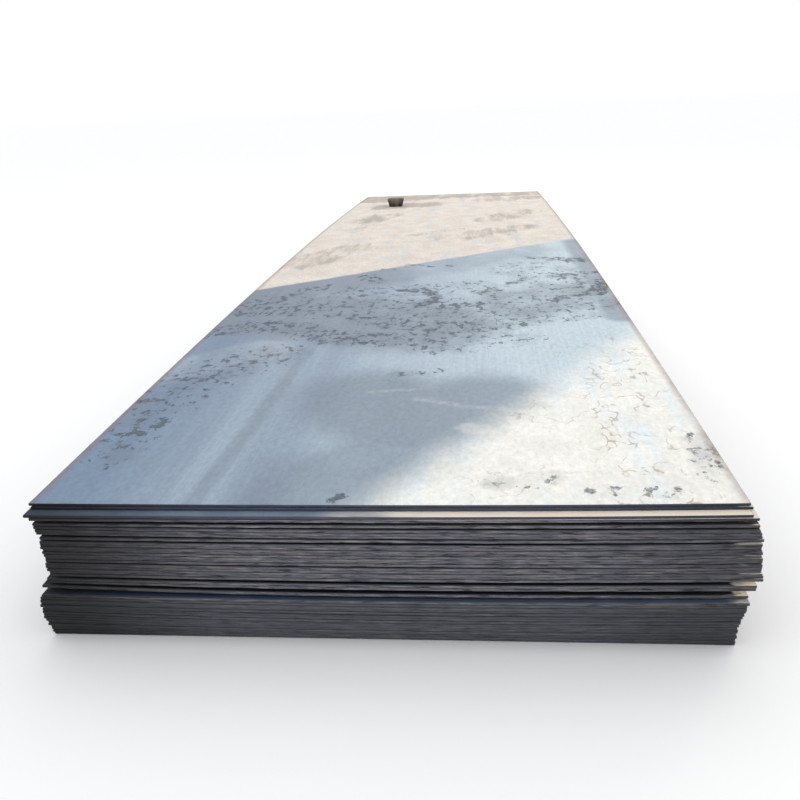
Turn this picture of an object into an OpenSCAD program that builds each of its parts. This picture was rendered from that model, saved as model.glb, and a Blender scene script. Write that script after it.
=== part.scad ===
// Stack of hot-rolled steel plates, lying flat in lifts of a few plates each.
// X is the width, Y the length with the near end at -Y, Z is up.
// The origin is the centre of the underside of the lowest plate.

/* [Plates] */
// Width of every plate
plate_w = 1500; // [1000:50:2500]
// Length of every plate
plate_l = 6000; // [3000:100:12000]
// Thickness of every plate
plate_t = 6; // [4:0.5:12]
// Air between two plates that lie on each other
plate_air = 0.3; // [0.2:0.05:0.5]
// Most that a plate lies forward or back of the others in its lift
wander_l = 1.5; // [0:0.5:6]
// Most that a plate lies to one side of the others in its lift
wander_w = 1.5; // [0:0.5:10]

/* [Lifts, from the floor up] */
// Number of plates in each lift
lift_plates = [9, 3, 5, 1, 2, 5, 8, 1, 3, 1, 2, 1, 1]; // [1:1:12]
// Opening under each lift at its near end
lift_open = [0, 3.5, 7.5, 5, 10, 9.5, 3.5, 6.5, 4, 4, 8, 0.5, 1]; // [0:0.5:12]
// How far the near end of each lift stands forward of the lowest plate, less than 0 is back
lift_forward = [0, 25, 33, 21, 21, 23, 21, 21, 22, 19, 22, -3, -5]; // [-40:1:60]
// How far each lift lies to the right of the lowest plate, less than 0 is left
lift_side = [2.5, -1, 5, 6, 27, 33, 31, 28, 26, 13, 5, 7, 4]; // [-40:1:40]
// How far the highest plate of each lift lies to the right of its lowest
lift_slant = [-4.5, 2, 7, 0, 0, -7, -6, 0, -3, 0, -12, 0, 0]; // [-20:0.5:20]
// Turn of each lift about the vertical, in degrees
lift_turn = [0, 0.03, -0.04, 0.1, -0.06, 0.05, 0, 0, -0.05, 0.1, 0.2, 0.04, 0]; // [-0.3:0.01:0.3]
// How far the lowest lift leans forward from its first plate to its last
floor_lean = 22; // [0:1:40]
// Rise of the top plate's middle above a straight line between its ends
crown = 40; // [0:1:60]

/* [Packing block] */
// Width of the block where it stands on the plate
block_base_w = 95; // [60:5:140]
// Width of the block at its top
block_top_w = 122; // [60:5:160]
// Depth of the block along the plates
block_l = 90; // [50:5:150]
// Height of the block
block_h = 62; // [30:1:100]
// Saw chamfer along the block's long top edges
block_chamfer = 5; // [1:1:10]
// Distance from the top plate's left edge to the middle of the block
block_from_left = 340; // [150:10:700]
// Distance from the top plate's far end to the middle of the block
block_from_far = 960; // [200:10:1500]

/* [Hidden] */

// Straight pieces that each plate's bow is made of
bow_steps = 16;
near_y = -plate_l / 2;
plate_pitch = plate_t + plate_air;
top_lift = len(lift_plates) - 1;

function sum_to(list, last) = last < 0 ? 0 : list[last] + sum_to(list, last - 1);

// Everything that is open below a lift at the near end
function open_below(lift) = sum_to(lift_open, lift);

// Height that the openings add under a lift at a place along the stack:
// all of them at the near end, none at the far end, with a bow between
function rise(lift, y) =
    let (along = min(1, (y - near_y) / plate_l))
    open_below(lift) * (1 - along) * (1 + 4 * crown * along / open_below(top_lift));

// How far up its lift a plate is, from 0 for the lowest to 1 for the highest
function up_lift(lift, index) = index / max(1, lift_plates[lift] - 1);

function lean(lift, index) = lift == 0 ? floor_lean * up_lift(lift, index) : 0;

// Small repeatable shift between -1 and 1 for the plate of this number
function wander(number, kind) = sin(number * 137 + kind * 59);

// A steel plate that follows the bow of its lift
module plate(lift, number, start_y) {
    ys = [for (i = [0:bow_steps]) start_y + plate_l * i / bow_steps];
    base = number * plate_pitch;
    under = [for (y = ys) [y, base + rise(lift, y)]];
    over = [for (i = [bow_steps:-1:0]) under[i] + [0, plate_t]];
    rotate([90, 0, 90])
        translate([0, 0, -plate_w / 2])
            linear_extrude(plate_w)
                polygon(concat(under, over));
}

module lift(lift) {
    first = sum_to(lift_plates, lift - 1);
    shade = lift == top_lift ? "#9aa7b5" : (lift % 2 == 0 ? "#6a6260" : "#565a63");
    for (index = [0:lift_plates[lift] - 1]) {
        number = first + index;
        slant = lift_slant[lift] * up_lift(lift, index);
        side = lift_side[lift] + slant + (index > 0 ? wander_w * wander(number, 1) : 0);
        back = index > 0 ? wander_l * wander(number, 2) : 0;
        start_y = near_y - lift_forward[lift] - lean(lift, index) + back;
        color(shade)
            translate([side, 0, 0])
                rotate([0, 0, lift_turn[lift]])
                    plate(lift, number, start_y);
    }
}

// A sawn timber offcut left on the top plate, narrower at its foot
module packing_block() {
    middle_y = plate_l / 2 - lift_forward[top_lift] - block_from_far;
    step_l = plate_l / bow_steps;
    start_y = near_y - lift_forward[top_lift];
    from_y = start_y + floor((middle_y - start_y) / step_l) * step_l;
    low = rise(top_lift, from_y);
    high = rise(top_lift, from_y + step_l);
    slope = (high - low) / step_l;
    seat_z = sum_to(lift_plates, top_lift) * plate_pitch + low + slope * (middle_y - from_y);
    color("#4a3f38")
        translate([lift_side[top_lift] + block_from_left - plate_w / 2, middle_y, seat_z])
            rotate([atan(slope), 0, 0])
                rotate([90, 0, 0])
                    translate([0, 0, -block_l / 2])
                        linear_extrude(block_l)
                            polygon([
                                [-block_base_w / 2, 0],
                                [block_base_w / 2, 0],
                                [block_top_w / 2, block_h - block_chamfer],
                                [block_top_w / 2 - block_chamfer, block_h],
                                [-block_top_w / 2 + block_chamfer, block_h],
                                [-block_top_w / 2, block_h - block_chamfer]
                            ]);
}

for (number = [0:top_lift])
    lift(number);
packing_block();
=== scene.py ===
# %% [markdown]
# # A stack of hot-rolled steel plates
# Forty-two plates of 6 mm steel lie flat in thirteen lifts, as a crane set them down, and a timber
# offcut lies on top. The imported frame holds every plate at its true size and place. This lesson
# reads each plate from the frame, rebuilds it with the rounded arris, torn edge and slow waves
# of a real sheared plate, and then gives the mill scale, the cut edges and the timber their finish.

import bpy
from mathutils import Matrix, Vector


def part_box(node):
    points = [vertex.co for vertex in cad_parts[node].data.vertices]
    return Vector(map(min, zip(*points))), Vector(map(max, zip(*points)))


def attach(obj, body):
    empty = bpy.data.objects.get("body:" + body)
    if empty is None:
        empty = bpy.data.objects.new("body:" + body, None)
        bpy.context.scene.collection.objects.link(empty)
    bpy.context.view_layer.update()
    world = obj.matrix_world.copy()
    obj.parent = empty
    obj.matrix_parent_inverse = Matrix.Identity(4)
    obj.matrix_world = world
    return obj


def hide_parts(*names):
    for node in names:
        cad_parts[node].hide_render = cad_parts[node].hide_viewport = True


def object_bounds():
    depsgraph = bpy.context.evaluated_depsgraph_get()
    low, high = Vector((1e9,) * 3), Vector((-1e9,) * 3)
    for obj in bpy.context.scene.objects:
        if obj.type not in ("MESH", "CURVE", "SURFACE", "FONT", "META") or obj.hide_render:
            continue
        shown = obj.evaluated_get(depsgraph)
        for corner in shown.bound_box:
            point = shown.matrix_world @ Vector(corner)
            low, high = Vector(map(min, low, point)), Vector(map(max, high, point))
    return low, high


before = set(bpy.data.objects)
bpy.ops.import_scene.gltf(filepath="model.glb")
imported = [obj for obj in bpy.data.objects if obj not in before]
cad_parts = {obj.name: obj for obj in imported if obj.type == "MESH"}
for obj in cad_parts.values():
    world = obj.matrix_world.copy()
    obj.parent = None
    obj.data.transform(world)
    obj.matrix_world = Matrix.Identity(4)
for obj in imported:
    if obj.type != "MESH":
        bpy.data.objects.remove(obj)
cad_box = [list(corner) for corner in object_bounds()]

import math

import bmesh
import bpy
import numpy as np
from mathutils import Matrix, Vector

MM = 0.001
print("stack, in metres:", [round(high - low, 3) for low, high in zip(*cad_box)])

# %% [markdown]
# ## Camera
# Someone stands at the near end, a little to the right, and looks down along the stack. A lens of
# 37 mm on a 36 mm sensor sees about 52 degrees, which stretches the near end and draws the far
# end small. The three turns are applied in the order that a tripod head has: pan, tilt, roll.

# %% Place the camera
# The eye in metres: right of the middle, short of the near end, and above the floor
EYE_RIGHT, EYE_SHORT, EYE_HEIGHT = 0.220, 1.511, 1.122
# Degrees: pan to the left, tilt down from level, and roll, where minus is clockwise
PAN, TILT_DOWN, ROLL = 5.80, 20.35, -2.62
near_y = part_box("top_plate")[0].y
stand = Vector((EYE_RIGHT, near_y - EYE_SHORT, EYE_HEIGHT))
pan = Matrix.Rotation(math.radians(PAN), 4, "Z")
tilt = Matrix.Rotation(math.radians(90 - TILT_DOWN), 4, "X")
roll = Matrix.Rotation(math.radians(ROLL), 4, "Z")

lens = bpy.data.cameras.new("camera")
lens.lens = 37.2
lens.sensor_width = 36
lens.clip_end = 200
camera = bpy.data.objects.new("camera", lens)
camera.matrix_world = Matrix.Translation(stand) @ pan @ tilt @ roll
bpy.context.scene.collection.objects.link(camera)
bpy.context.scene.camera = camera
print("camera at", [round(value, 3) for value in stand])

# %% [markdown]
# ## Reading the plates
# A lift is one node of the frame, with its plates as separate solids in one mesh. Two vertices
# belong to the same plate if edges join them, so walking along edges sorts a lift into plates.
# Each plate is then described by its four corners, a parabola for its bow, and its thickness.

# %% Sort a lift into plates
def loose_parts(node):
    """The points of each separate solid in a node of the frame."""
    mesh = bmesh.new()
    mesh.from_mesh(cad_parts[node].data)
    bmesh.ops.remove_doubles(mesh, verts=mesh.verts, dist=0.01 * MM)
    unseen = set(mesh.verts)
    parts = []
    for start in mesh.verts:
        if start not in unseen:
            continue
        unseen.remove(start)
        queue = [start]
        for vertex in queue:
            linked = [edge.other_vert(vertex) for edge in vertex.link_edges]
            fresh = [other for other in linked if other in unseen]
            unseen.difference_update(fresh)
            queue.extend(fresh)
        parts.append(np.array([vertex.co for vertex in queue]))
    mesh.free()
    return parts


# %% Describe one plate
def furthest(points, across, along):
    """The corner that lies furthest out in a diagonal direction, seen from above."""
    return points[np.argmax(across * points[:, 0] + along * points[:, 1]), :2]


def describe(points):
    """A plate's corners, its size seen from above, its bow along the length and its thickness."""
    near_left, near_right = furthest(points, -1, -1), furthest(points, 1, -1)
    far_left, far_right = furthest(points, -1, 1), furthest(points, 1, 1)
    length = np.linalg.norm(far_left - near_left)
    along = (points[:, :2] - near_left) @ (far_left - near_left) / length**2
    bow = np.polyfit(along, points[:, 2], 2)
    thickness = 2 * np.abs(points[:, 2] - np.polyval(bow, along)).mean()
    return {
        "corners": (near_left, near_right, far_left, far_right),
        "width": np.linalg.norm(near_right - near_left),
        "length": length,
        "bow": bow,
        "thickness": thickness,
    }


LIFTS = [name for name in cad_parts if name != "packing_block"]
LIFTS.sort(key=lambda name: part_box(name)[0].z)
plates = {}
for name in LIFTS:
    plates[name] = sorted(map(describe, loose_parts(name)), key=lambda plate: plate["bow"][2])
    print(name, "holds", len(plates[name]), "plates")

# %% [markdown]
# ## How the lifts lie
# A plate cools faster along its sides, and the sides pull up a few millimetres. So at the near
# end each lift stands higher at its sides than in the middle of its width, each by its own
# amount, and the openings between the lifts change in height. The openings all close towards the
# far end, and the curl fades with them. Inside a lift the plates do not touch everywhere either,
# so they share out a little of the room above their lift, more here and less there.

# %% Choose the curl and measure the openings
# Curl of each lift in mm at its left side and its right side, from the floor up
CURL = dict(zip(LIFTS, ((11.5, 9), (12, 9), (7, 8), (14.5, 6), (9, 9), (6.5, 9.5), (5.5, 9),
                        (3, 7.5), (5.4, 5), (3, 4.2), (3.2, 6.3), (2.7, 5.8), (2.7, 5.8))))


def near_height(plate, side):
    """Height of a plate's upper (side 1) or lower (side -1) face at its near end."""
    return plate["bow"][2] + side * plate["thickness"] / 2


opening_above = {}
for lower, upper in zip(LIFTS, LIFTS[1:] + [None]):
    over = near_height(plates[upper][0], -1) if upper else cad_box[1][2]
    opening_above[lower] = over - near_height(plates[lower][-1], 1)
    print(lower, "has", round(opening_above[lower] / MM, 1), "mm above it")


# %% Slow waves that are the same on every run
# Every kind of wave below gives each plate seeds of its own, so no two plates wave alike
def ripple(place, span, seed):
    """A smooth wave between -1 and 1 whose slowest swing is one span long."""
    starts = np.random.default_rng(seed).uniform(0, 2 * math.pi, 3)
    swings = [np.sin(2 * math.pi * place / span * pace + start)
              for pace, start in zip((1, 1.7, 2.9), starts)]
    return sum(swings) / 3


# %% Curl and fan of a plate in its lift
FAN_SPAN = 0.9
MOST_FAN, FAN_SHARE = 0.5 * MM, 0.3


def lift_shape(lift, index, count, across, along, width):
    """How far a plate of a lift lies above its true parabola at a place on it."""
    fade = (1 - along) ** 1.2
    left, right = CURL[lift]
    if lift == LIFTS[0]:  # the floor keeps its first plate flat
        left, right = (curl * index / (count - 1) for curl in (left, right))
    if lift == "sixth_lift" and index == 0:  # this plate hangs lower at its right side
        right -= 3
    curl = np.where(across < 0.5, left, right) * (2 * across - 1) ** 2 * MM
    spare = min(MOST_FAN, FAN_SHARE * opening_above[lift])
    first_seed = 40 * LIFTS.index(lift)
    shares = [0.5 + 0.5 * ripple(across * width, FAN_SPAN, seed=first_seed + number)
              for number in range(1, count)]
    fan = sum(shares[:index]) / sum(shares) * spare if index else 0
    return fade * (curl + fan)


# %% [markdown]
# ## One plate as a mesh
# A shear leaves the same marks on every plate edge. The top arris is rolled over, a smooth cut
# band follows, the lower half is torn and leans inwards, and the last of it is a ragged lip.
# The mesh has a grid for the upper face, a grid for the lower face, and rings between them that
# follow this profile. The rings lie inside the true outline, so the plate keeps its size.

# %% The sheared edge from top to bottom
ROLLOVER = 0.7 * MM
# Each ring: share of the thickness below the upper face, and mm inside the outline
EDGE_PROFILE = ((0.015, 0.4), (0.045, 0.15), (0.10, 0.0), (0.45, 0.05), (0.80, 0.1), (0.95, 0.3))


def border(columns, rows):
    """Walk round a grid: for each border point its column, its row and the way out."""
    near = [(i, 0) for i in range(columns)]
    right = [(columns, j) for j in range(rows)]
    far = [(i, rows) for i in range(columns, 0, -1)]
    left = [(0, j) for j in range(rows, 0, -1)]
    walk = near + right + far + left
    return [(i, j, (i == columns) - (i == 0), (j == rows) - (j == 0)) for i, j in walk]


def face_points(plate, across, along):
    """Points of the plate's middle surface; across and along run from 0 to 1."""
    near_left, near_right, far_left, far_right = plate["corners"]
    near = near_left + across[:, None] * (near_right - near_left)
    far = far_left + across[:, None] * (far_right - far_left)
    flat = near + along[:, None] * (far - near)
    return np.column_stack([flat, np.polyval(plate["bow"], along)])


# %% Build the rings and the two faces
# Metres from one swing to the next: how far the edge bulges, sways in and out, and tears
BULGE_SPAN, SWAY_SPAN, TEAR_SPAN = 0.11, 0.13, 0.047
SWAY = 0.25 * MM


def plate_rings(plate, number, columns, row_places):
    """All points of one plate as (across, along, share of depth), layer by layer."""
    rows = len(row_places) - 1
    inset = np.array([ROLLOVER / plate["width"], ROLLOVER / plate["length"]])
    grid_across, grid_along = np.meshgrid(np.linspace(0, 1, columns + 1), row_places)
    grid = np.column_stack([grid_across.ravel(), grid_along.ravel()])
    faces = inset + grid * (1 - 2 * inset)
    layers = [np.column_stack([faces, np.zeros(len(faces))])]
    walk = border(columns, rows)
    sunlit_rim = np.array([[grid_across[j, i], grid_along[j, i]] for i, j, _, _ in walk])
    out = np.array([[x, y] for _, _, x, y in walk], float)
    travel = sunlit_rim[:, 0] * plate["width"] + 2.3 * sunlit_rim[:, 1] * plate["length"]
    roll = 0.8 + 0.7 * ripple(travel, BULGE_SPAN, seed=900 + number)
    sway = SWAY * (1 + ripple(travel, SWAY_SPAN, seed=300 + number)) / 2
    for level, (depth, inside) in enumerate(EDGE_PROFILE):
        tear = 0.12 * ripple(travel, TEAR_SPAN, seed=7 * number + level) * (level > 1)
        below = np.clip(depth * roll + tear, 0.02, 0.97) if level < 3 else depth + tear * 0.5
        inward = inside * roll * MM + sway
        moved = sunlit_rim - out * inward[:, None] / [plate["width"], plate["length"]]
        layers.append(np.column_stack([moved, below]))
    layers.append(np.column_stack([faces, np.ones(len(faces))]))
    return layers, walk


def plate_quads(layers, walk, columns, first):
    """Corner numbers of every quad of one plate, and whether each lies on the cut edge."""
    def cell(i, j, start):
        return start + j * (columns + 1) + i

    grid_size = len(layers[0])
    rows = grid_size // (columns + 1) - 1
    under = first + sum(map(len, layers[:-1]))
    quads = []
    for j in range(rows):
        for i in range(columns):
            ring = [(i, j), (i + 1, j), (i + 1, j + 1), (i, j + 1)]
            quads.append([cell(a, b, first) for a, b in ring])
            quads.append([cell(a, b, under) for a, b in reversed(ring)])
    face_count = len(quads)
    loops = [[cell(i, j, first) for i, j, _, _ in walk]]
    start = first + grid_size
    for layer in layers[1:-1]:
        loops.append(list(range(start, start + len(layer))))
        start += len(layer)
    loops.append([cell(i, j, under) for i, j, _, _ in walk])
    for upper, lower in zip(loops, loops[1:]):
        for k in range(len(upper)):
            after = (k + 1) % len(upper)
            quads.append([upper[k], lower[k], lower[after], upper[after]])
    return quads, [0] * face_count + [1] * (len(quads) - face_count)


# %% [markdown]
# ## One lift as a piece
# The plates of a lift become one object, each plate still closed and separate. Every vertex
# also stores where it lies on its plate, so a finish can follow the plate and not the room:
# metres across, metres along, and a third number whose whole part is the plate's number and
# whose fraction is the depth. A second value gives each plate a tone of its own.

# %% Join the plates of a lift
def store(mesh, name, kind, values):
    """Keep one value for each vertex under a name that a material can read."""
    attribute = mesh.attributes.new(name, kind, "POINT")
    key = "vector" if kind == "FLOAT_VECTOR" else "value"
    attribute.data.foreach_set(key, np.asarray(values, np.float32).ravel())


def lift_piece(lift, first_number, columns, row_places):
    """Build one lift from its plates, stored in metres in the frame's own axes."""
    points, quads, sides, places, tones = [], [], [], [], []
    count, total = 0, len(plates[lift])
    for index, plate in enumerate(plates[lift]):
        number = first_number + index
        layers, walk = plate_rings(plate, number, columns, row_places)
        new_quads, new_sides = plate_quads(layers, walk, columns, count)
        spots = np.vstack(layers)
        across, along, depth = spots.T
        middle = face_points(plate, across, along)
        middle[:, 2] += lift_shape(lift, index, total, across, along, plate["width"])
        middle[:, 2] += plate["thickness"] * (0.5 - depth)
        points.append(middle)
        quads += new_quads
        sides += new_sides
        places.append(np.column_stack([across * plate["width"], along * plate["length"],
                                       number + 0.98 * depth]))
        tones.append(np.full(len(spots), np.random.default_rng(number).uniform()))
        count += len(spots)
    mesh = bpy.data.meshes.new(lift + "_steel")
    mesh.from_pydata(np.vstack(points).tolist(), [], quads)
    mesh.polygons.foreach_set("material_index", sides)
    store(mesh, "place", "FLOAT_VECTOR", np.vstack(places))
    store(mesh, "tone", "FLOAT", np.concatenate(tones))
    mesh.polygons.foreach_set("use_smooth", [True] * len(quads))
    mesh.set_sharp_from_angle(angle=math.radians(50))
    piece = bpy.data.objects.new(lift + "_steel", mesh)
    bpy.context.scene.collection.objects.link(piece)
    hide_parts(lift)
    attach(piece, "root")
    return piece


# %% Build all the lifts
# The top plate shows its whole face, so its grid is the finest, most of all at the near end
TOP_COLUMNS, TOP_ROWS, CROWDING = 120, 320, 0.5
COLUMNS, ROWS = 64, 24


def graded_rows(count, crowding):
    """Places from 0 to 1 along the plate, closer together at the near end."""
    even = np.linspace(0, 1, count + 1)
    return even * (1 - crowding) + crowding * even**2


pieces = {}
number = 0
for lift in LIFTS:
    top = lift == "top_plate"
    rows = graded_rows(TOP_ROWS, CROWDING) if top else graded_rows(ROWS, 0)
    pieces[lift] = lift_piece(lift, number, TOP_COLUMNS if top else COLUMNS, rows)
    number += len(plates[lift])
    print(lift, "has", 2 * len(pieces[lift].data.polygons), "triangles")

# %% [markdown]
# ## The packing block
# A crane driver drops a timber offcut on a stack to keep the slings off it. This one was sawn
# narrower at its foot. Its true faces come from the frame. A cutter then rounds the arrises, and
# the faces get the shallow dents that years of slings leave. Every vertex also stores how near
# it is to the top, because the top's rim is painted pale, as painted sunlight.

# %% Build the block from its true faces
ARRIS = 2.5 * MM
LEAST_WEAR, DENT = 0.3 * MM, 1.2 * MM


def worn_block():
    """The offcut with rounded arrises and shallow dents, inside its true faces."""
    shape = bmesh.new()
    shape.from_mesh(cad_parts["packing_block"].data)
    bmesh.ops.remove_doubles(shape, verts=shape.verts, dist=0.01 * MM)
    bmesh.ops.dissolve_limit(shape, angle_limit=math.radians(1), verts=shape.verts,
                             edges=shape.edges)
    bmesh.ops.bevel(shape, geom=shape.edges[:], offset=ARRIS, segments=2, affect="EDGES")
    bmesh.ops.subdivide_edges(shape, edges=shape.edges[:], cuts=7, use_grid_fill=True)
    bmesh.ops.triangulate(shape, faces=shape.faces[:])
    shape.normal_update()
    corner, high_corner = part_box("packing_block")
    spots = np.array([vertex.co for vertex in shape.verts])
    dents = ripple(spots[:, 0] + 0.7 * spots[:, 2], 0.04, seed=71)
    dents *= ripple(spots[:, 1], 0.03, seed=72)
    normals = [vertex.normal.copy() for vertex in shape.verts]
    for vertex, normal, dent in zip(shape.verts, normals, dents):
        if vertex.co.z > corner.z + 2 * MM:  # the foot stays flat
            vertex.co -= normal * (LEAST_WEAR + DENT * abs(dent))
    mesh = bpy.data.meshes.new("packing_block_timber")
    shape.to_mesh(mesh)
    shape.free()
    places = spots - np.array(corner)
    height = places[:, 2] / (high_corner.z - corner.z)
    store(mesh, "place", "FLOAT_VECTOR", places)
    # Painted sunlight: the top band of the block, to be laid pale
    store(mesh, "sunlit_rim", "FLOAT", np.clip((height - 0.86) / 0.1, 0, 1))
    mesh.polygons.foreach_set("use_smooth", [True] * len(mesh.polygons))
    mesh.set_sharp_from_angle(angle=math.radians(40))
    piece = bpy.data.objects.new("packing_block_timber", mesh)
    bpy.context.scene.collection.objects.link(piece)
    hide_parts("packing_block")
    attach(piece, "root")
    return piece


block = worn_block()
print("block has", len(block.data.polygons), "triangles")

# %% [markdown]
# ## Floor and light
# A plain floor and a plain world, both almost white, carry most of the light, as in a white
# room. A wide softbox hangs over the far half of the stack, so that the steel, seen at a low
# angle, mirrors it softly. A smaller one stands to the right and behind, and catches the right
# ends of the plates. Nothing lights the near end from the front, so it stays the darkest side.

# %% Colours and nodes
def srgb(code):
    """A hex colour as the linear colour that the shaders work in."""
    parts = [int(code[i:i + 2], 16) / 255 for i in (1, 3, 5)]
    linear = [part / 12.92 if part < 0.04045 else ((part + 0.055) / 1.055) ** 2.4 for part in parts]
    return (*linear, 1)


# Socket numbers of a Mix node that blends colours, and its output
SHARE, UNDER, OVER, BLEND = 0, 6, 7, 2


def add(tree, kind, feeds=(), out=0, **settings):
    """Add a node, set it up, feed its sockets with values or links, and give one output."""
    node = tree.nodes.new("ShaderNode" + kind)
    for name, value in settings.items():
        setattr(node, name, value)
    for socket, feed in dict(feeds).items():
        if isinstance(feed, bpy.types.NodeSocket):
            tree.links.new(feed, node.inputs[socket])
        else:
            node.inputs[socket].default_value = feed
    return node.outputs[out] if node.outputs else node


def new_material(name):
    """A material with no nodes yet."""
    material = bpy.data.materials.new(name)
    material.use_nodes = True
    material.node_tree.nodes.clear()
    return material, material.node_tree


# %% Floor, world and softboxes
def softbox(name, place, aim, size, power, colour):
    """A square area light that points at a spot."""
    light = bpy.data.lights.new(name, "AREA")
    light.size = size
    light.energy = power
    light.color = srgb(colour)[:3]
    holder = bpy.data.objects.new(name, light)
    holder.location = place
    holder.rotation_euler = (Vector(aim) - Vector(place)).to_track_quat("-Z", "Y").to_euler()
    bpy.context.scene.collection.objects.link(holder)


world = bpy.data.worlds.new("white_room")
bpy.context.scene.world = world
world.use_nodes = True
background = world.node_tree.nodes["Background"]
background.inputs["Color"].default_value = srgb("#fdfeff")
background.inputs["Strength"].default_value = 1.03

FLOOR_REACH = 60
corners = [(x * FLOOR_REACH, y * FLOOR_REACH, 0) for x, y in ((-1, -1), (1, -1), (1, 1), (-1, 1))]
floor_mesh = bpy.data.meshes.new("floor")
floor_mesh.from_pydata(corners, [], [(0, 1, 2, 3)])
floor = bpy.data.objects.new("floor", floor_mesh)
floor.location.z = -0.5 * MM
bpy.context.scene.collection.objects.link(floor)
floor_paint, tree = new_material("white_floor_paint")
shader = add(tree, "BsdfPrincipled", {"Base Color": srgb("#fcfcfc"), "Roughness": 0.9})
add(tree, "OutputMaterial", {"Surface": shader})
floor_mesh.materials.append(floor_paint)
bpy.context.scene.view_settings.view_transform = "Standard"

top_z = cad_box[1][2]
softbox("overhead_softbox", (0.5, 3.0, top_z + 5), (0, 0.5, top_z), 7, 60, "#ffffff")
softbox("right_softbox", (5.0, 3.5, top_z + 2.4), (0, 0, top_z), 2.5, 60, "#fff1e0")
print("lights:", [light.name for light in bpy.data.lights])

# %% [markdown]
# ## Stains and painted sunlight on the top plate
# The top plate has lain outside, and its stains have places of their own: a crust of dirt in a
# ragged belt across it, spots and smears, smudges of soil, tide marks and scuffs. Two pale zones,
# at the far end and at the near right corner, are painted sunlight laid as pale dust, and a pale
# patch near the left side joins the near one. A noise alone would put them anywhere. So each is
# painted as a soft field on the vertices, from a few strokes or straight lines listed below, and
# the finish then tears the field's edge with a noise. The strokes of dirt are laid a little
# unsteadily, as dirt never lies straight.

# %% Paint soft fields on the vertices
def distance_to_line(spots, line):
    """Distance from each spot to a line through two or more points, in metres."""
    line = np.array(line, float)
    nearest = np.full(len(spots), np.inf)
    for start, end in zip(line, line[1:]):
        step = end - start
        share = np.clip((spots - start) @ step / (step @ step), 0, 1)
        nearest = np.minimum(nearest, np.linalg.norm(spots - start - share[:, None] * step, axis=1))
    return nearest


def brushed(spots, strokes):
    """Field from strokes: each is a half width, a strength and a line of (across, along)."""
    field = np.zeros(len(spots))
    for half_width, strength, line in strokes:
        # A flat middle, and a soft border from there out to the half width
        fade = np.clip(1.8 * (1 - distance_to_line(spots, line) / half_width), 0, 1)
        field = np.maximum(field, strength * fade)
    return field


def beyond(spots, start, end, softness):
    """0 on one side of a line and 1 on its left side, with a soft step between."""
    start, end = np.array(start), np.array(end)
    normal = np.array([start[1] - end[1], end[0] - start[0]]) / np.linalg.norm(end - start)
    return np.clip(0.5 + (spots - start) @ normal / (2 * softness), 0, 1)


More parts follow.
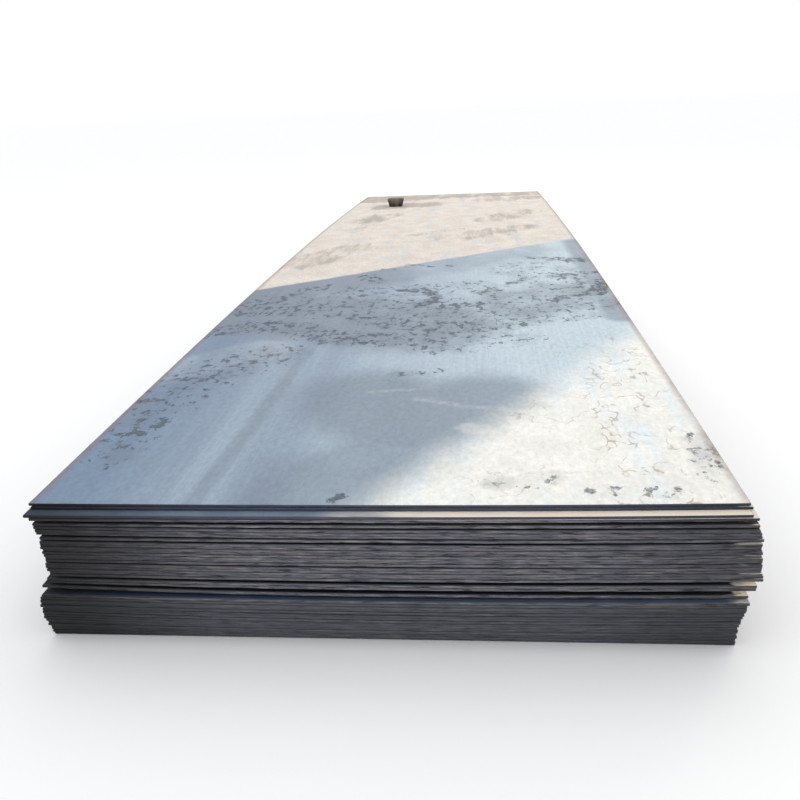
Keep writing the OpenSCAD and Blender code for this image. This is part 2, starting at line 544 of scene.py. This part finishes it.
# %% Lay out the strokes
# Each stroke: half width in metres, strength, and a line of (across, along) in metres from the
# near left corner. Crusted dirt: smears and spots first, then the belt with its ragged edge.
CRUST = [
    (0.051, 0.64, [(0.65, 1.90), (0.74, 1.91), (0.79, 1.80), (0.785, 1.68), (0.74, 1.64)]),
    (0.055, 0.58, [(0.80, 1.59), (0.90, 1.63), (0.965, 1.64)]),
    (0.051, 0.58, [(0.975, 1.83), (1.04, 1.87)]),
    (0.041, 0.51, [(1.08, 1.95), (1.20, 2.08)]),
    (0.048, 0.58, [(1.25, 1.67), (1.33, 1.73), (1.43, 1.78), (1.49, 2.00)]),
    (0.068, 0.64, [(1.43, 1.76), (1.50, 1.98)]),
    (0.051, 0.51, [(1.37, 1.88), (1.39, 2.03)]),
    (0.103, 0.58, [(1.36, 2.50), (1.44, 2.46)]),
    (0.077, 0.51, [(1.23, 2.55), (1.27, 2.55)]),
    (0.094, 0.58, [(1.32, 2.13), (1.36, 2.10)]),
    (0.060, 0.51, [(1.44, 2.17), (1.50, 2.16)]),
    (0.051, 0.45, [(1.29, 1.83), (1.32, 1.80)]),
    (0.086, 0.51, [(0.47, 2.20), (0.51, 2.10)]),
    (0.060, 0.45, [(0.63, 2.45), (0.69, 2.42)]),
    (0.038, 0.51, [(0.735, 2.42), (0.745, 2.40)]),
    (0.038, 0.51, [(0.83, 2.42), (0.84, 2.40)]),
    (0.051, 0.45, [(0.53, 2.36), (0.56, 2.34)]),
    (0.055, 0.51, [(0.22, 1.97), (0.27, 1.95), (0.31, 2.02)]),
    (0.051, 0.51, [(0.42, 1.99), (0.46, 1.95), (0.49, 1.89)]),
    (0.051, 0.45, [(0.44, 1.82), (0.52, 1.84)]),
    (0.077, 0.45, [(0.65, 1.70), (0.72, 1.62), (0.80, 1.66)]),
    (0.077, 0.51, [(0.11, 0.79), (0.17, 0.83), (0.24, 0.93)]),
    (0.034, 0.64, [(0.12, 0.435), (0.14, 0.435)]),
    (0.027, 0.64, [(0.095, 0.385), (0.105, 0.38)]),
    (0.022, 0.72, [(0.06, 0.47), (0.065, 0.47)]),
    (0.022, 0.72, [(0.045, 0.36), (0.05, 0.36)]),
    (0.022, 0.66, [(0.655, 0.030), (0.675, 0.028)]),
    (0.068, 0.52, [(0.00, 1.58), (0.14, 1.72), (0.20, 1.90)]),
    (0.138, 0.51, [(0.00, 1.30), (0.20, 1.38), (0.32, 1.33), (0.47, 1.20), (0.64, 1.18)]),
    (0.133, 0.47, [(0.64, 1.18), (0.74, 1.17), (0.80, 1.08)]),
    (0.114, 0.42, [(0.84, 1.16), (0.93, 1.08), (1.00, 1.22), (1.08, 1.12), (1.15, 1.18)]),
    (0.175, 0.49, [(0.00, 1.62), (0.30, 1.60)]),
    (0.150, 0.49, [(0.55, 1.45), (0.85, 1.30), (1.10, 1.35)]),
    (0.300, 0.42, [(0.10, 1.70), (0.60, 1.60), (1.20, 1.55)]),
    (0.325, 0.40, [(1.20, 2.30), (1.35, 1.95)]),
    (0.200, 0.44, [(0.08, 0.60), (0.16, 0.90), (0.30, 1.02)]),
    (0.130, 0.43, [(0.08, 0.25), (0.10, 0.80)]),
    (0.200, 0.41, [(0.45, 1.85), (0.95, 1.95)]),
    (0.180, 0.42, [(1.05, 1.75), (1.40, 1.60)]),
    (0.080, 0.40, [(1.20, 1.36), (1.36, 1.42)]),
    (0.050, 0.42, [(0.72, 0.80), (0.86, 0.84)]),
    (0.050, 0.44, [(1.20, 0.06), (1.36, 0.05)]),
    (0.060, 0.44, [(1.46, 0.12), (1.47, 0.32)]),
    (0.060, 0.40, [(1.00, 0.10), (1.12, 0.12)]),
    (0.060, 0.38, [(1.16, 3.30), (1.18, 3.70)]),
    (0.080, 0.36, [(0.20, 3.60), (0.28, 4.10)]),
    (0.090, 0.36, [(0.60, 3.40), (0.86, 3.60)]),
]
# Thin grey grime that dulls the steel inside the belt
GRIME = [
    (0.45, 1.0, [(0.00, 1.62), (0.35, 1.52), (0.70, 1.38)]),
    (0.40, 0.9, [(0.10, 2.02), (0.42, 2.22)]),
    (0.35, 0.6, [(0.80, 1.45), (1.10, 1.60), (1.30, 1.75)]),
    (0.40, 0.5, [(0.62, 2.36), (1.10, 2.75)]),
    (0.30, 0.9, [(0.66, 0.62), (0.78, 0.45), (0.98, 0.58)]),
    (0.25, 0.7, [(0.72, 0.20), (0.60, 0.05)]),
    (0.10, 0.8, [(1.48, 1.40), (1.49, 3.00)]),
    (0.12, 0.8, [(1.46, 0.05), (1.49, 0.90)]),
    (0.035, 0.6, [(0.36, 0.00), (0.42, 1.25)]),
]
# Tide marks that drying puddles left near the right edge
TIDE = [
    (0.16, 1.0, [(1.34, 0.04), (1.33, 0.45), (1.37, 0.80), (1.34, 1.06)]),
    (0.12, 0.8, [(1.10, 0.50), (1.25, 0.46)]),
    (0.10, 0.7, [(0.98, 0.08), (1.10, 0.12)]),
    (0.12, 0.7, [(1.20, 1.02), (1.38, 1.06)]),
]
# Scuffs that are rubbed bright
SCUFF = [
    (0.022, 0.44, [(0.665, 0.665), (0.79, 0.680)]),
    (0.026, 0.46, [(0.79, 0.61), (0.90, 0.56), (1.04, 0.52)]),
    (0.050, 0.80, [(0.94, 0.40), (1.02, 0.36), (1.16, 0.27)]),
    (0.036, 0.70, [(1.10, 0.50), (1.24, 0.44)]),
]
# Dark smudges of soil in the pale far zone of painted sunlight
SMUDGE = [
    (0.45, 0.8, [(0.00, 5.85), (1.50, 5.90)]),
    (0.30, 1.0, [(0.10, 5.55), (0.45, 5.70)]),
    (0.28, 0.9, [(0.30, 5.00), (0.55, 5.10)]),
    (0.25, 0.7, [(1.05, 5.30), (1.40, 5.40)]),
    (0.20, 0.6, [(0.20, 4.10), (0.35, 4.40)]),
    (0.20, 0.6, [(1.05, 4.00), (1.30, 4.40)]),
    (0.25, 0.6, [(0.05, 2.55), (0.30, 2.95)]),
    (0.20, 0.6, [(0.85, 3.30), (1.20, 3.60)]),
]


# %% Store the fields on the top plate
top_mesh = pieces["top_plate"].data
stored = np.zeros(3 * len(top_mesh.vertices), np.float32)
top_mesh.attributes["place"].data.foreach_get("vector", stored)
spots = stored.reshape(-1, 3)[:, :2].astype(float)
UNSTEADY = 0.014
waver = [ripple(spots[:, 1], 0.17, seed=81),
         ripple(spots[:, 0] + 0.4 * spots[:, 1], 0.12, seed=82)]
wavered = spots + UNSTEADY * np.column_stack(waver)
left_dust = brushed(spots, [(0.20, 0.34, [(0.0, 0.86), (0.25, 1.08)])])
# Painted sunlight: the near right corner, beyond this straight soft line, is laid pale as if lit
near_sunlight_and_dust = beyond(spots, (1.50, 1.22), (0.74, 0.0), softness=0.16)
stains_and_sunlight = {
    # Painted sunlight: the far end, beyond a straight line, is laid pale as if lit; the near zone
    # also takes the pale patch at the left
    "far_painted_sunlight": beyond(spots, (0.0, 1.96), (1.35, 3.00), softness=0.05),
    "near_sunlight_and_dust": np.maximum(near_sunlight_and_dust, left_dust),
    "crust": brushed(wavered, CRUST),
    "grime": brushed(spots, GRIME),
    "tide": brushed(spots, TIDE),
    "scuff": brushed(spots, SCUFF),
    "smudge": brushed(wavered, SMUDGE),
}
for name, field in stains_and_sunlight.items():
    store(top_mesh, name, "FLOAT", field)
    print(name, "reaches", round(100 * np.mean(field > 0.1)), "% of the top plate's vertices")

# %% [markdown]
# ## Mill scale
# Hot-rolled plate leaves the mill under a skin of iron oxide, called mill scale. It is blue-grey,
# harder and duller than bare steel, and still a little metallic. The rolls draw every mark out
# along the plate: broad bands about 140 mm wide, and streaks about 6 mm wide. The finest real
# streaks are thinner than that, and are drawn coarser here so that they still show from afar.

# %% Tools for layered finishes
def grain(tree, place, pitch, detail=3.0, roughness=0.5):
    """Noise drawn out to a pitch: metres across, metres along, and in plate thicknesses."""
    scale = tuple(1 / length for length in pitch)
    vector = add(tree, "VectorMath", {0: place, 1: scale}, operation="MULTIPLY")
    return add(tree, "TexNoise",
               {"Vector": vector, "Scale": 1.0, "Detail": detail, "Roughness": roughness})


SMOOTH = {"interpolation_type": "SMOOTHSTEP"}


def step(value, low, high, to=1.0):
    """Feeds of a Map Range node that rises from 0 while its value runs from low to high."""
    return {"Value": value, "From Min": low, "From Max": high, "To Max": to}


def layered(tree, colour, *layers):
    """Lay layers over a colour, the lowest first: each is a share and a colour."""
    for share, over in layers:
        under, over = (srgb(paint) if isinstance(paint, str) else paint for paint in (colour, over))
        colour = add(tree, "Mix", {SHARE: share, UNDER: under, OVER: over}, BLEND,
                     data_type="RGBA")
    return colour


# %% The skin that all plates share
def rolled_skin(tree, place, dark, middle, pale):
    """Colour of bare mill scale, paler towards the right partly as painted light, and its fine
    streaks.
    """
    across = add(tree, "SeparateXYZ", {0: place})
    bands = grain(tree, place, (0.14, 2.0, 1.0))
    clouds = grain(tree, place, (0.30, 0.45, 1.0))
    streaks = grain(tree, place, (0.006, 0.35, 1.0), detail=4.0)
    # Paler towards the right: partly the scale's own tone, partly painted light falling from the
    # right
    drift = add(tree, "Math", {0: clouds, 1: 0.6, 2: across}, operation="MULTIPLY_ADD")
    rightward_tone_and_light = add(tree, "MapRange", step(drift, 0.6, 1.6), **SMOOTH)
    banded = add(tree, "MapRange", step(bands, 0.3, 0.7), **SMOOTH)
    colour = layered(tree, dark, (banded, middle), (rightward_tone_and_light, pale))
    shade = add(tree, "MapRange", {"Value": streaks, "From Min": 0.3, "From Max": 0.7,
                                   "To Min": 0.90, "To Max": 1.06})
    return add(tree, "VectorMath", {0: colour, "Scale": shade}, operation="SCALE"), streaks


# %% [markdown]
# ## Mill scale inside the stack
# Between the lifts the scale is painted darker, as painted shade where little light gets in. Three
# things show at the near end. A strip of 3 to 6 mm along the edge is paler, pale dust with painted
# sunlight lies over the first 300 mm, and painted shade darkens the left side.

# %% Mill scale of the plates inside the stack
# Metres from the near end where each one begins to show, and where it is at its full strength
SUNLIT_DUSTY_END, PALE_STRIP = (0.3, 0.1), (0.006, 0.003)
SUNLIT_DUST_PATCHES = 0.4


def mill_scale(name, tones, sunlit_dust_from, sunlit_dust_to):
    """Mill scale between the lifts, with a pale dusty film of painted sunlight that starts and
    covers at distances across.
    """
    material, tree = new_material(name)
    place = add(tree, "Attribute", {}, "Vector", attribute_name="place")
    colour, streaks = rolled_skin(tree, place, *tones)
    across = add(tree, "SeparateXYZ", {0: place})
    along = add(tree, "SeparateXYZ", {0: place}, "Y")
    # Painted shade: darker towards the left side, down to 0.3 of the colour at the left edge
    undarkened = add(tree, "MapRange", {"Value": across, "From Max": 0.4, "To Min": 0.3}, **SMOOTH)
    colour = add(tree, "VectorMath", {0: colour, "Scale": undarkened}, operation="SCALE")
    # A paler strip along the first 3 to 6 mm of the near end
    pale_strip = add(tree, "MapRange", step(along, *PALE_STRIP))
    bright = add(tree, "VectorMath", {0: srgb("#5a5c65")[:3], "Scale": undarkened}, operation="SCALE")

    # Pale dust laid with painted sunlight: pale patches near the end, from some distance across
    patches = grain(tree, place, (0.09, 0.05, 0.7))
    reach = add(tree, "Math", {0: patches, 1: SUNLIT_DUST_PATCHES, 2: across}, operation="MULTIPLY_ADD")
    limits = [limit + SUNLIT_DUST_PATCHES / 2 for limit in (sunlit_dust_from, sunlit_dust_to)]
    dust_and_sunlight = add(tree, "MapRange", step(reach, *limits), **SMOOTH)
    near_end = add(tree, "MapRange", step(along, *SUNLIT_DUSTY_END))
    dust_and_sunlight = add(tree, "Math", {0: dust_and_sunlight, 1: near_end}, operation="MULTIPLY")
    colour = layered(tree, colour, (pale_strip, bright), (dust_and_sunlight, "#e3d8c9"))

    rough = add(tree, "MapRange", {"Value": streaks, "To Min": 0.6, "To Max": 0.8})
    bump = add(tree, "Bump", {"Height": streaks, "Strength": 0.4, "Distance": 0.2 * MM})
    shader = add(tree, "BsdfPrincipled", {"Base Color": colour, "Metallic": 0.3,
                                          "Roughness": rough, "Normal": bump})
    add(tree, "OutputMaterial", {"Surface": shader})
    return material


# %% [markdown]
# ## Cut edges
# The shears leave a bright edge that rusts and greys within weeks. Each plate came from its own
# batch, so each edge has its own tone. Pale and dark dashes run along the edges: partly
# weathering, partly painted highlight and painted shade, and the seams get dirt with painted shade.
# The lowest lifts have a colder, darker grey; the two uppermost edges get a blue of painted sky
# light. Painted shade darkens the edges at the left side, and they also darken, less, towards the
# right side.

# %% Colour of a cut edge
# Heights above the floor in metres, between which the cold grey fades out and the painted blue of
# sky light sets in
COLD_EDGES, BLUE_EDGES = (0.120, 0.112), (0.306, 0.308)


def edge_colour(tree, place):
    """Grey-brown of a sheared edge under pale and dark dashes, partly painted highlight and shade,
    and the noise of the dashes.
    """
    dashes = grain(tree, place, (0.050, 0.050, 0.62), detail=4.0, roughness=0.6)
    blots = grain(tree, place, (0.16, 0.16, 1.3), detail=4.0)
    warm = add(tree, "MapRange", step(blots, 0.35, 0.65), **SMOOTH)
    # Pale and dark dashes: partly weathering, partly painted highlight and painted shade of the
    # seams
    pale_dash_and_highlight = add(tree, "MapRange", step(dashes, 0.46, 0.36, to=0.6), **SMOOTH)
    dark_dash_and_shade = add(tree, "MapRange", step(dashes, 0.53, 0.61, to=0.85), **SMOOTH)
    height = add(tree, "SeparateXYZ", {0: add(tree, "TexCoord", {}, "Object")}, "Z")
    cold = add(tree, "MapRange", step(height, *COLD_EDGES, to=0.65), **SMOOTH)
    # Painted sky light: the two uppermost edges are tinted blue
    blue = add(tree, "MapRange", step(height, *BLUE_EDGES, to=0.8), **SMOOTH)
    colour = layered(tree, "#5d606b", (warm, "#767276"), (pale_dash_and_highlight, "#a19c9e"),
                     (dark_dash_and_shade, "#1f2128"), (cold, "#43474f"), (blue, "#364056"))
    return colour, dashes


# %% Shade of a cut edge
def edge_shade(tree, place, dashes):
    """Brightness of a sheared edge: its batch, dirt and painted shade in its seams, painted shade
    at its left side and darkening towards its right side.
    """
    tone = add(tree, "Attribute", {}, "Fac", attribute_name="tone")
    across = add(tree, "SeparateXYZ", {0: place})
    along = add(tree, "SeparateXYZ", {0: place}, "Y")
    depth = add(tree, "Math", {0: add(tree, "SeparateXYZ", {0: place}, "Z")}, operation="FRACT")
    batch = add(tree, "MapRange", {"Value": tone, "To Min": 0.8, "To Max": 0.96})
    # Dirt and painted shade: the lower part of each edge, by its seam, is darker in broken dashes
    seam_dirt_and_shade = add(tree, "MapRange", step(depth, 0.70, 0.90), **SMOOTH)
    broken = add(tree, "MapRange", step(dashes, 0.42, 0.55), **SMOOTH)
    seam_dirt_and_shade = add(tree, "Math", {0: seam_dirt_and_shade, 1: broken}, operation="MULTIPLY")
    seam_darkening = add(tree, "MapRange", {"Value": seam_dirt_and_shade, "To Min": 1.0, "To Max": 0.7})
    shade = add(tree, "Math", {0: batch, 1: seam_darkening}, operation="MULTIPLY")

    # Painted shade at the left side near the near end; the right side also darkens, less
    left = add(tree, "MapRange", step(across, 0.5, 0.0, to=0.92), **SMOOTH)
    right = add(tree, "MapRange", step(across, 1.1, 1.5, to=0.5), **SMOOTH)
    near_end = add(tree, "MapRange", step(along, 0.5, 0.05), **SMOOTH)
    darker_sides = add(tree, "Math", {0: left, 1: right}, operation="MAXIMUM")
    darker_sides = add(tree, "Math", {0: darker_sides, 1: near_end}, operation="MULTIPLY")
    undarkened = add(tree, "Math", {0: 1.0, 1: darker_sides}, operation="SUBTRACT")
    return add(tree, "Math", {0: shade, 1: undarkened}, operation="MULTIPLY")


# %% Weathered cut edge
def cut_edge():
    """Sheared steel edge, weathered to a matt grey-brown with dark dashes along its seams."""
    material, tree = new_material("weathered_cut_edge")
    place = add(tree, "Attribute", {}, "Vector", attribute_name="place")
    colour, dashes = edge_colour(tree, place)
    shade = edge_shade(tree, place, dashes)
    colour = add(tree, "VectorMath", {0: colour, "Scale": shade}, operation="SCALE")
    bump = add(tree, "Bump", {"Height": dashes, "Strength": 0.6, "Distance": 0.4 * MM})
    shader = add(tree, "BsdfPrincipled", {"Base Color": colour, "Metallic": 0.3,
                                          "Roughness": 0.62, "Normal": bump})
    add(tree, "OutputMaterial", {"Surface": shader})
    return material


# %% [markdown]
# ## The top plate's face
# The same mill scale, weathered in the open. The finish is laid in layers: bare scale, thin grime,
# painted sunlight laid as pale dust with soil in it, mud and crusted dirt, tide marks, bright
# scuffs, and rust that creeps in from the long sides; the real ones lie in the order that they
# happened.
# Each layer's painted field decides where it lies, and a noise tears its edge. Two noises do most
# of
# the tearing: a broad one with blots of about 110 mm, and one with flakes of about 30 mm.

# %% Bare scale and grime
def torn(tree, field, noise, low, high, reach=0.6):
    """A painted field whose edge is torn by a noise: 0 outside and 1 inside."""
    raw = add(tree, "Math", {0: noise, 1: 0.5}, operation="SUBTRACT")
    raw = add(tree, "Math", {0: raw, 1: reach, 2: field}, operation="MULTIPLY_ADD")
    return add(tree, "MapRange", step(raw, low, high), **SMOOTH)


def grimy_scale(tree, place, field, blots):
    """Blue-grey scale, deeper blue at the left side, under thin grime, and its streaks."""
    colour, streaks = rolled_skin(tree, place, "#8292a6", "#97a8b8", "#bccbd4")
    across = add(tree, "SeparateXYZ", {0: place})
    strip = add(tree, "MapRange", step(across, 0.34, 0.06, to=0.6), **SMOOTH)
    grime = torn(tree, field["grime"], blots, 0.1, 0.9)
    grime = add(tree, "Math", {0: grime, 1: 0.7}, operation="MULTIPLY")
    return layered(tree, colour, (strip, "#5f7a98"), (grime, "#717d8b")), streaks


# %% Painted sunlight laid as dry dust
def sunlit_dusted(tree, place, field, colour, blots, warm):
    """A colour under painted sunlight, buff at the far end and white at the near end, and its
    share.
    """
    clouds = grain(tree, place, (0.09, 0.50, 1.0), detail=7.0, roughness=0.62)
    far_cool = add(tree, "MapRange", step(clouds, 0.50, 0.66, to=0.6), **SMOOTH)
    near_cool = add(tree, "MapRange", step(clouds, 0.46, 0.64, to=0.7), **SMOOTH)
    soiled = torn(tree, field["smudge"], clouds, 0.3, 0.9, reach=2.2)
    soiled = add(tree, "Math", {0: soiled, 1: 0.6}, operation="MULTIPLY")
    # Painted sunlight: buff for the far zone, with soil smudged into it, and white for the near
    # zone
    buff = layered(tree, "#d0c5bb", (warm, "#dfd7cd"), (far_cool, "#c3c9cd"),
                   (soiled, "#94867c"))
    white = layered(tree, "#e6e5de", (warm, "#f3f1ea"), (near_cool, "#dfe9ee"))
    far = torn(tree, field["far_painted_sunlight"], blots, 0.35, 0.65, reach=0.3)
    near = torn(tree, field["near_sunlight_and_dust"], blots, 0.2, 0.8, reach=0.3)
    dust_and_sunlight = add(tree, "Math", {0: far, 1: near}, operation="MAXIMUM")
    return layered(tree, colour, (far, buff), (near, white)), dust_and_sunlight


# %% Mud and crusted dirt
def crusted(tree, place, field, colour, blots, flakes, warm):
    """A colour under thin mud with thick flakes of dirt on it, and the flakes."""
    mud = torn(tree, field["crust"], blots, 0.25, 0.75, reach=1.4)
    mud = add(tree, "Math", {0: mud, 1: 0.45}, operation="MULTIPLY")
    crust = torn(tree, field["crust"], flakes, 0.50, 0.64, reach=2.3)
    crumbs = grain(tree, place, (0.008, 0.012, 1.0), detail=3.0)
    depth = add(tree, "MapRange", {"Value": crumbs, "From Min": 0.35, "From Max": 0.65,
                                   "To Min": 0.50, "To Max": 0.95})
    thick = add(tree, "Math", {0: crust, 1: depth}, operation="MULTIPLY")
    soil = layered(tree, "#3c4653", (warm, "#555a63"))
    return layered(tree, colour, (mud, "#667180"), (thick, soil)), crust


# %% Tide marks and rust
def tide_marks(tree, place, field, flakes):
    """Share of the thin outlines that puddles left, with gaps where they have flaked off."""
    puddles = grain(tree, place, (0.10, 0.15, 1.0), detail=2.5, roughness=0.6)
    outline = add(tree, "Math", {0: puddles, 1: 0.5}, operation="SUBTRACT")
    outline = add(tree, "Math", {0: outline}, operation="ABSOLUTE")
    line = add(tree, "MapRange", {"Value": outline, "From Min": 0.003, "From Max": 0.014,
                                  "To Min": 0.7, "To Max": 0.0})
    unbroken = add(tree, "MapRange", step(flakes, 0.42, 0.56), **SMOOTH)
    line = add(tree, "Math", {0: line, 1: unbroken}, operation="MULTIPLY")
    return add(tree, "Math", {0: line, 1: field["tide"]}, operation="MULTIPLY")


def side_rust(tree, place, blots):
    """Share of the rust within 25 mm of both long sides."""
    across = add(tree, "SeparateXYZ", {0: place})
    right = add(tree, "MapRange", step(across, 1.475, 1.50), **SMOOTH)
    left = add(tree, "MapRange", step(across, 0.025, 0.0), **SMOOTH)
    rust = add(tree, "Math", {0: right, 1: left}, operation="MAXIMUM")
    return add(tree, "Math", {0: rust, 1: blots}, operation="MULTIPLY")


# %% Weathered mill scale
def weathered_scale():
    """Mill scale that lay in the open, under grime, pale painted sunlight, crusted dirt, tide marks
    and scuffs.
    """
    material, tree = new_material("weathered_mill_scale")
    field = {name: add(tree, "Attribute", {}, "Fac", attribute_name=name) for name in stains_and_sunlight}
    place = add(tree, "Attribute", {}, "Vector", attribute_name="place")
    blots = grain(tree, place, (0.11, 0.16, 1.0), detail=6.0, roughness=0.6)
    flakes = grain(tree, place, (0.030, 0.045, 1.0), detail=8.0, roughness=0.68)
    warm = add(tree, "MapRange", step(blots, 0.3, 0.7), **SMOOTH)
    colour, streaks = grimy_scale(tree, place, field, blots)
    colour, dust_and_sunlight = sunlit_dusted(tree, place, field, colour, blots, warm)
    colour, crust = crusted(tree, place, field, colour, blots, flakes, warm)
    tide = tide_marks(tree, place, field, flakes)
    scuff = torn(tree, field["scuff"], flakes, 0.20, 0.80, reach=1.0)
    scuff = add(tree, "Math", {0: scuff, 1: 0.32}, operation="MULTIPLY")
    rust = side_rust(tree, place, blots)
    colour = layered(tree, colour, (tide, "#a8947f"), (scuff, "#e4e2dc"), (rust, "#7d5642"))
    specks = grain(tree, place, (0.014, 0.026, 1.0), detail=7.0, roughness=0.72)
    uneven = add(tree, "MapRange", {"Value": specks, "From Min": 0.3, "From Max": 0.7,
                                    "To Min": 0.84, "To Max": 1.12})
    colour = add(tree, "VectorMath", {0: colour, "Scale": uneven}, operation="SCALE")

    # Bare scale is satin and half metallic; the pale zones of painted sunlight and dust, and the
    # dirt, are matt and hide the metal
    rough = add(tree, "MapRange", {"Value": streaks, "To Min": 0.34, "To Max": 0.56})
    matt = add(tree, "Math", {0: dust_and_sunlight, 1: crust}, operation="MAXIMUM")
    rough = add(tree, "Mix", {0: matt, 2: rough, 3: 0.8}, data_type="FLOAT")
    metal = add(tree, "MapRange", {"Value": matt, "To Min": 0.6, "To Max": 0.0})
    relief = add(tree, "Math", {0: crust, 1: 0.5, 2: streaks}, operation="MULTIPLY_ADD")
    bump = add(tree, "Bump", {"Height": relief, "Strength": 0.5, "Distance": 0.4 * MM})
    shader = add(tree, "BsdfPrincipled", {"Base Color": colour, "Metallic": metal,
                                          "Roughness": rough, "Normal": bump})
    add(tree, "OutputMaterial", {"Surface": shader})
    return material


# %% [markdown]
# ## Weathered timber
# Softwood that has lain outside turns grey-brown, and grease from the slings darkens it further.
# The grain runs along the block as streaks 3 mm apart. The rim at the top is painted pale, as
# painted sunlight.

# %% Dark weathered timber
def weathered_timber():
    """Old sawn timber: matt, dark brown-grey streaks, with painted sunlight as a pale band at the
    top.
    """
    material, tree = new_material("dark_weathered_timber")
    place = add(tree, "Attribute", {}, "Vector", attribute_name="place")
    streaks = grain(tree, place, (0.003, 0.060, 0.003), detail=4.0)
    grease = grain(tree, place, (0.030, 0.030, 0.030))
    share = add(tree, "MapRange", step(streaks, 0.35, 0.65), **SMOOTH)
    dark = add(tree, "MapRange", step(grease, 0.45, 0.7, to=0.6), **SMOOTH)
    sunlit_rim = add(tree, "Attribute", {}, "Fac", attribute_name="sunlit_rim")
    # Painted sunlight: a pale band at the top, where the streaks are pale
    sunlit_rim = add(tree, "Math", {0: sunlit_rim, 1: share}, operation="MULTIPLY")
    colour = layered(tree, "#2c2724", (share, "#5e534b"), (dark, "#201d1d"), (sunlit_rim, "#a1968a"))
    bump = add(tree, "Bump", {"Height": streaks, "Strength": 0.7, "Distance": 0.6 * MM})
    shader = add(tree, "BsdfPrincipled", {"Base Color": colour, "Roughness": 0.85,
                                          "Normal": bump})
    add(tree, "OutputMaterial", {"Surface": shader})
    return material


# %% [markdown]
# ## Which piece wears what
# Mill scale is not one colour in this stack. The upper ledge is a clear blue-grey, half under pale
# dust with painted sunlight. The lower ledge is a deep blue of painted shade and painted sky
# reflection. The lowest lifts are a dull grey, and the covered plates are painted almost black as
# shade. Each tone is given as its dark, its middle and its pale colour. Every piece has two
# finishes: the first for its faces, and the second for its cut edges.

# %% Give every piece its finish
UPPER_LEDGE = ("#54637a", "#6d7c91", "#98a3ae")
# Painted shade and painted sky reflection: deep blue for the lower ledge under the overhang
LOWER_LEDGE_IN_SHADE = ("#26334b", "#2f3c52", "#39465a")
LOWEST_LIFTS = ("#383c44", "#3f434c", "#474b54")
# Painted shade: near-black faces for the plates inside the openings between the lifts
COVERED_IN_SHADE = ("#0c0e12", "#101217", "#15171c")

low_scale = mill_scale("low_scale", LOWEST_LIFTS, 1.49, 1.60)
faces = {
    "top_plate": weathered_scale(),
    # Upper ledge: pale dust with painted sunlight over its right part, from 0.55 m across
    "ledge_lift": mill_scale("sunlit_dusty_ledge_scale", UPPER_LEDGE, 0.55, 0.95),
    "third_lift": mill_scale("ledge_scale_in_painted_shade", LOWER_LEDGE_IN_SHADE, 1.49, 1.60),
    "floor_lift": low_scale,
    "second_lift": low_scale,
}
shaded_covered_scale, edge = mill_scale("covered_mill_scale_in_shade", COVERED_IN_SHADE, 1.47, 1.51), cut_edge()
for lift, piece in pieces.items():
    piece.data.materials.append(faces.get(lift, shaded_covered_scale))
    piece.data.materials.append(edge)
    print(piece.name, "wears", [material.name for material in piece.data.materials])
block.data.materials.append(weathered_timber())
